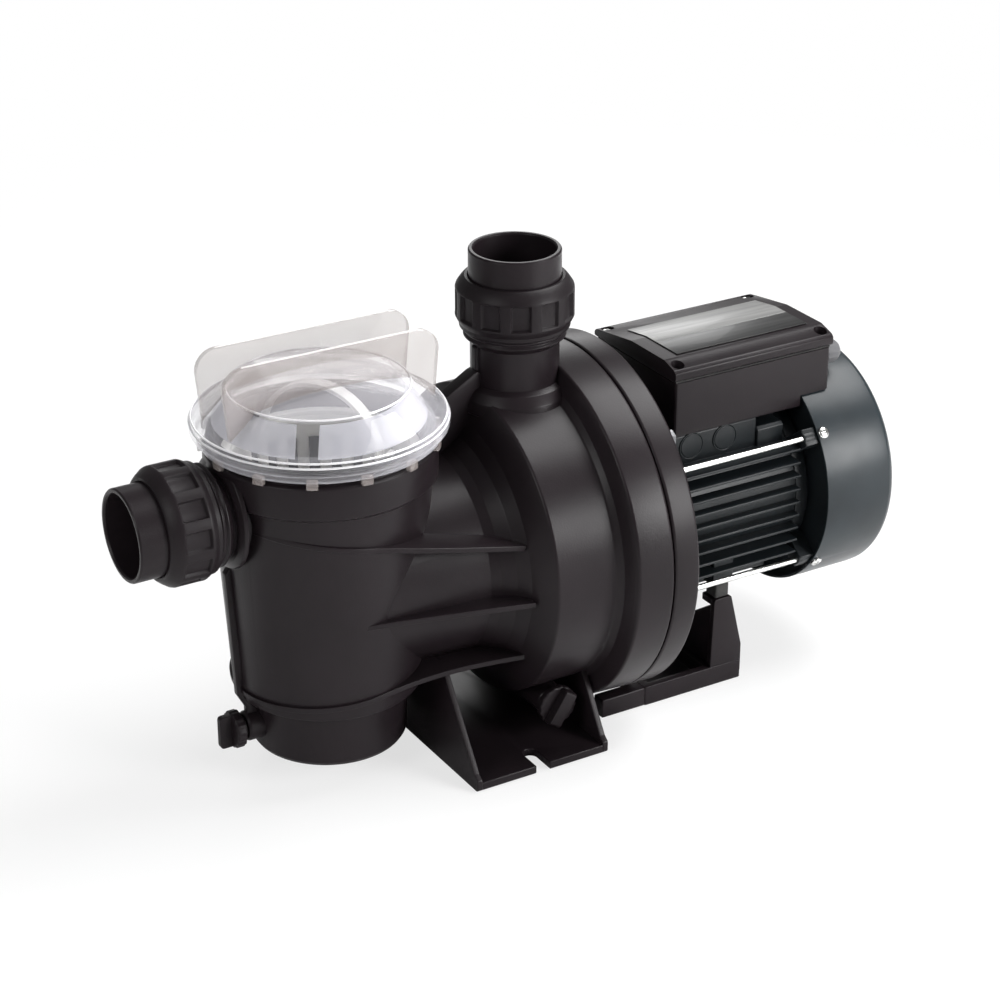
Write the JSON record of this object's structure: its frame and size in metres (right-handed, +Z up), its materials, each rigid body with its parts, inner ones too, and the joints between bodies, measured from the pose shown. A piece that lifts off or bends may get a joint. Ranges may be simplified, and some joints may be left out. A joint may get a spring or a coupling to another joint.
{
  "type": "pool pump",
  "caption": "Self-priming pool pump: strainer pot with a clear winged lid, ribbed moulded volute on a slotted foot, threaded pipe unions, and a finned motor with a terminal box and fan cover.",
  "frame": {"origin": "on the ground under the middle of the pump's box, on the shaft's vertical plane", "axes": "+X along the shaft from the suction side to the fan cover, +Z up"},
  "size_m": [0.536, 0.245, 0.327],
  "materials": {
    "black_plastic": "satin, fine moulded grain",
    "grey_plastic": "matt",
    "clear_plastic": "clear, glossy",
    "white_plastic": "satin",
    "rubber": "matt",
    "frame_paint": "satin paint",
    "cover_paint": "semi-gloss paint",
    "bright_steel": "bright",
    "core_steel": "dull laminated steel",
    "copper_wire": "varnished copper wire",
    "seal_ceramic": "polished",
    "plate_label": "printed plate, left blank with one dark band"
  },
  "bodies": {
    "pump": {"pump_body": "black_plastic", "seal_plate": "black_plastic", "terminal_box": "black_plastic", "rear_foot": "black_plastic", "diffuser": "grey_plastic", "run_capacitor": "grey_plastic", "cable_gland_body": "grey_plastic", "terminal_block": "white_plastic", "casing_o_ring": "rubber", "terminal_box_gasket": "rubber", "support_pad_left": "rubber", "support_pad_right": "rubber", "front_end_shield": "frame_paint", "motor_frame": "frame_paint", "rear_end_shield": "frame_paint", "fan_cover": "cover_paint", "casing_bolt_1": "bright_steel", "casing_bolt_2": "bright_steel", "casing_bolt_3": "bright_steel", "casing_bolt_4": "bright_steel", "tie_rod_1": "bright_steel", "tie_rod_2": "bright_steel", "tie_rod_3": "bright_steel", "tie_rod_4": "bright_steel", "front_bearing": "bright_steel", "rear_bearing": "bright_steel", "fan_cover_screw_1": "bright_steel", "fan_cover_screw_2": "bright_steel", "fan_cover_screw_3": "bright_steel", "fan_cover_screw_4": "bright_steel", "stator_core": "core_steel", "front_winding": "copper_wire", "rear_winding": "copper_wire", "seal_stationary_seat": "seal_ceramic"},
    "rotor": {"motor_shaft": "bright_steel", "rotor_core": "core_steel", "impeller": "grey_plastic", "seal_rotating_head": "core_steel", "cooling_fan": "grey_plastic"},
    "lid_seal": {"lid_o_ring": "rubber"},
    "lid": {"strainer_lid": "clear_plastic"},
    "basket": {"strainer_basket": "white_plastic"},
    "handle": {"basket_handle": "white_plastic"},
    "suction_union": {"suction_tail": "black_plastic", "suction_o_ring": "rubber"},
    "suction_nut": {"suction_nut": "black_plastic"},
    "discharge_union": {"discharge_tail": "black_plastic", "discharge_o_ring": "rubber"},
    "discharge_nut": {"discharge_nut": "black_plastic"},
    "pot_drain_seal": {"pot_drain_o_ring": "rubber"},
    "pot_drain": {"pot_drain_plug": "black_plastic"},
    "volute_drain_seal": {"volute_drain_o_ring": "rubber"},
    "volute_drain": {"volute_drain_plug": "black_plastic"},
    "box_lid": {"terminal_box_lid": "black_plastic", "rating_plate": "plate_label", "box_lid_screw_1": "bright_steel", "box_lid_screw_2": "bright_steel", "box_lid_screw_3": "bright_steel", "box_lid_screw_4": "bright_steel"},
    "gland_nut": {"cable_gland_nut": "grey_plastic"}
  },
  "joints": [
    {"name": "shaft_spin", "type": "hinge", "parent": "pump", "child": "rotor", "pos_m": [0, 0, 0.129], "axis": [1, 0, 0], "continuous": true},
    {"name": "lid_lift", "type": "slide", "parent": "pump", "child": "lid_seal", "axis": [0, 0, 1], "range_m": [0, 0.24]},
    {"name": "lid_turn", "type": "hinge", "parent": "lid_seal", "child": "lid", "pos_m": [-0.131, 0, 0.24], "axis": [0, 0, 1], "range_deg": [0, 90]},
    {"name": "basket_lift", "type": "slide", "parent": "pump", "child": "basket", "axis": [0, 0, 1], "range_m": [0, 0.192]},
    {"name": "handle_swing", "type": "hinge", "parent": "basket", "child": "handle", "pos_m": [-0.131, 0, 0.222], "axis": [-0.5446, 0.8387, 0], "range_deg": [-80, 80]},
    {"name": "suction_tail_slide", "type": "slide", "parent": "pump", "child": "suction_union", "axis": [-1, 0, 0], "range_m": [0, 0.0125]},
    {"name": "suction_nut_turn", "type": "hinge", "parent": "suction_union", "child": "suction_nut", "pos_m": [-0.24, 0, 0.193], "axis": [-1, 0, 0], "range_deg": [0, 1080]},
    {"name": "discharge_tail_slide", "type": "slide", "parent": "pump", "child": "discharge_union", "axis": [0, 0, 1], "range_m": [0, 0.0125]},
    {"name": "discharge_nut_turn", "type": "hinge", "parent": "discharge_union", "child": "discharge_nut", "pos_m": [0.011, 0, 0.29], "axis": [0, 0, 1], "range_deg": [0, 1080]},
    {"name": "pot_drain_slide", "type": "slide", "parent": "pump", "child": "pot_drain_seal", "axis": [-1, 0, 0], "range_m": [0, 0.008]},
    {"name": "pot_drain_turn", "type": "hinge", "parent": "pot_drain_seal", "child": "pot_drain", "pos_m": [-0.2, 0, 0.037], "axis": [-1, 0, 0], "range_deg": [0, 1080]},
    {"name": "volute_drain_slide", "type": "slide", "parent": "pump", "child": "volute_drain_seal", "axis": [0, -1, 0], "range_m": [0, 0.008]},
    {"name": "volute_drain_turn", "type": "hinge", "parent": "volute_drain_seal", "child": "volute_drain", "pos_m": [0.003, -0.07, 0.029], "axis": [0, -1, 0], "range_deg": [0, 1080]},
    {"name": "box_lid_lift", "type": "slide", "parent": "pump", "child": "box_lid", "axis": [0, 0, 1], "range_m": [0, 0.06]},
    {"name": "gland_nut_turn", "type": "hinge", "parent": "pump", "child": "gland_nut", "pos_m": [0.24, -0.033, 0.219], "axis": [1, 0, 0], "range_deg": [0, 720]}
  ],
  "couplings": [
    {"joint": "basket_lift", "follows": "lid_lift", "ratio": 0.8},
    {"joint": "suction_tail_slide", "follows": "suction_nut_turn", "m_per_rad": 0.00063662},
    {"joint": "discharge_tail_slide", "follows": "discharge_nut_turn", "m_per_rad": 0.00063662},
    {"joint": "pot_drain_slide", "follows": "pot_drain_turn", "m_per_rad": 0.00039789},
    {"joint": "volute_drain_slide", "follows": "volute_drain_turn", "m_per_rad": 0.00039789}
  ]
}
